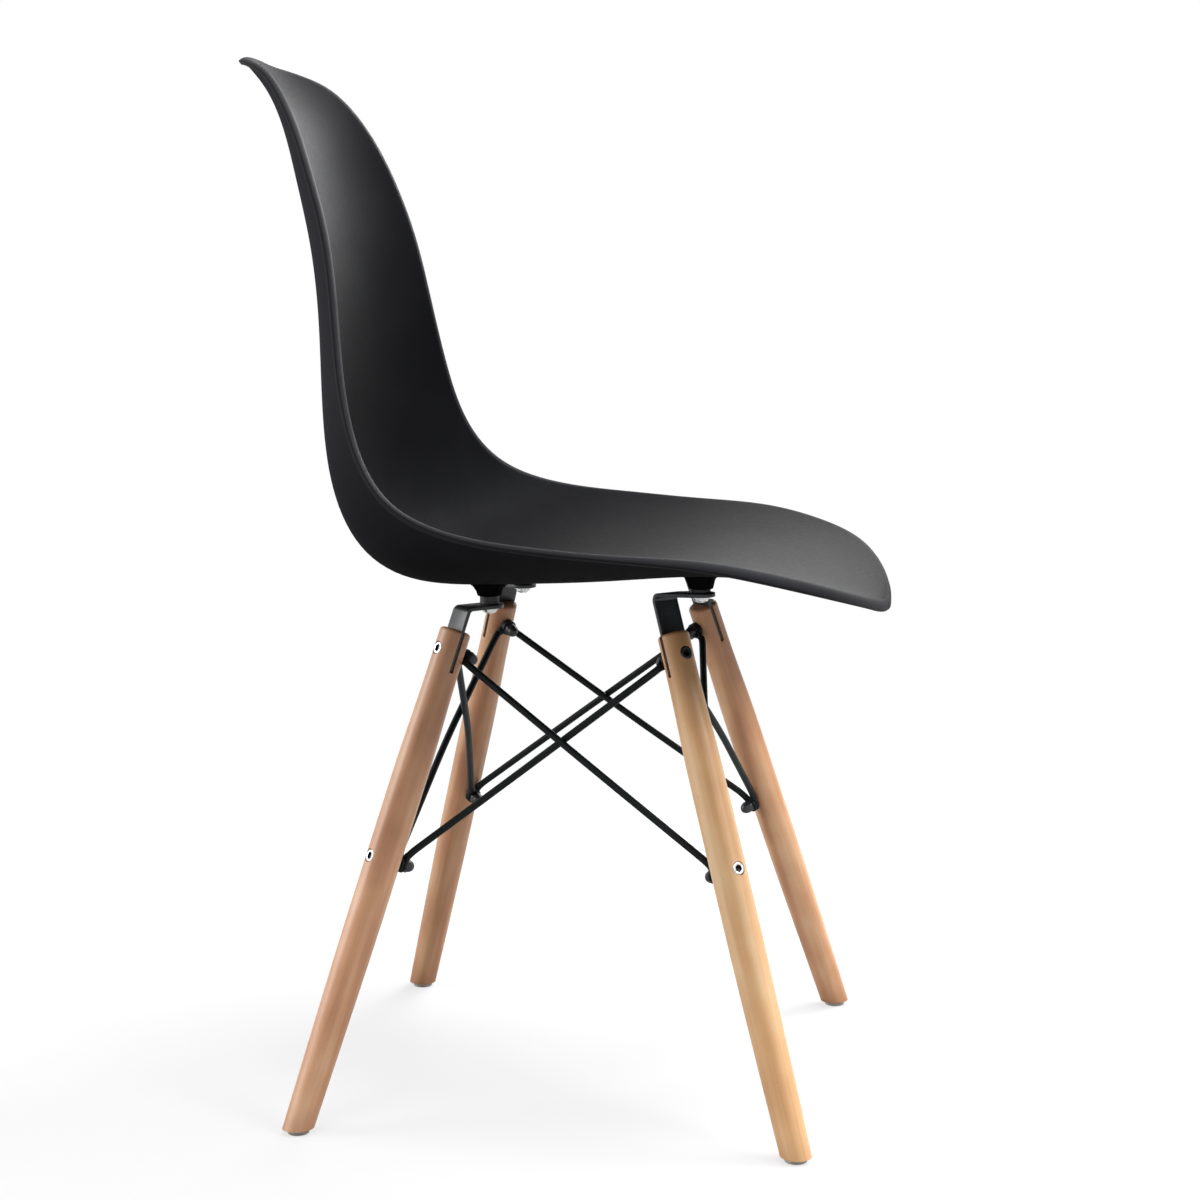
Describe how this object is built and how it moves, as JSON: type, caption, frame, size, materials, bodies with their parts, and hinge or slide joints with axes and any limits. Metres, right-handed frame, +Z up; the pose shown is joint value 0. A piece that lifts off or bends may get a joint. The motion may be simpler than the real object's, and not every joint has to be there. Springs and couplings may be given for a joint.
{
  "type": "dining chair",
  "caption": "Armless dining side chair with a one-piece moulded plastic shell on leaning tapered wooden dowel legs with crossed steel brace rods.",
  "frame": {"origin": "on the floor, under the middle of the chair's bounding box", "axes": "+X to the front of the chair, +Y to the sitter's left, +Z up"},
  "size_m": [0.5158, 0.47, 0.8199],
  "materials": {
    "shell_plastic": "fine matte moulded texture",
    "spacer_plastic": "plain matte",
    "insert_brass": "turned and knurled",
    "zinc_steel": "bright zinc plated",
    "black_steel": "satin black powder coat",
    "beech": "clear satin lacquer on straight-grained beech",
    "glide_plastic": "plain grey"
  },
  "bodies": {
    "root": {"seat_shell": "shell_plastic", "threaded_inserts": "insert_brass", "boss_spacers": "spacer_plastic", "seat_screws": "zinc_steel", "seat_washers": "zinc_steel", "front_left_bracket": "black_steel", "rear_left_bracket": "black_steel", "rear_right_bracket": "black_steel", "front_right_bracket": "black_steel", "front_left_leg": "beech", "rear_left_leg": "beech", "rear_right_leg": "beech", "front_right_leg": "beech", "front_left_glide": "glide_plastic", "rear_left_glide": "glide_plastic", "rear_right_glide": "glide_plastic", "front_right_glide": "glide_plastic", "glide_nails": "zinc_steel", "upper_leg_bolts": "zinc_steel", "lower_leg_bolts": "zinc_steel", "upper_cap_nuts": "black_steel", "lower_cap_nuts": "black_steel", "front_brace_a": "black_steel", "left_brace_a": "black_steel", "rear_brace_a": "black_steel", "right_brace_a": "black_steel", "front_brace_b": "black_steel", "left_brace_b": "black_steel", "rear_brace_b": "black_steel", "right_brace_b": "black_steel"}
  },
  "joints": []
}
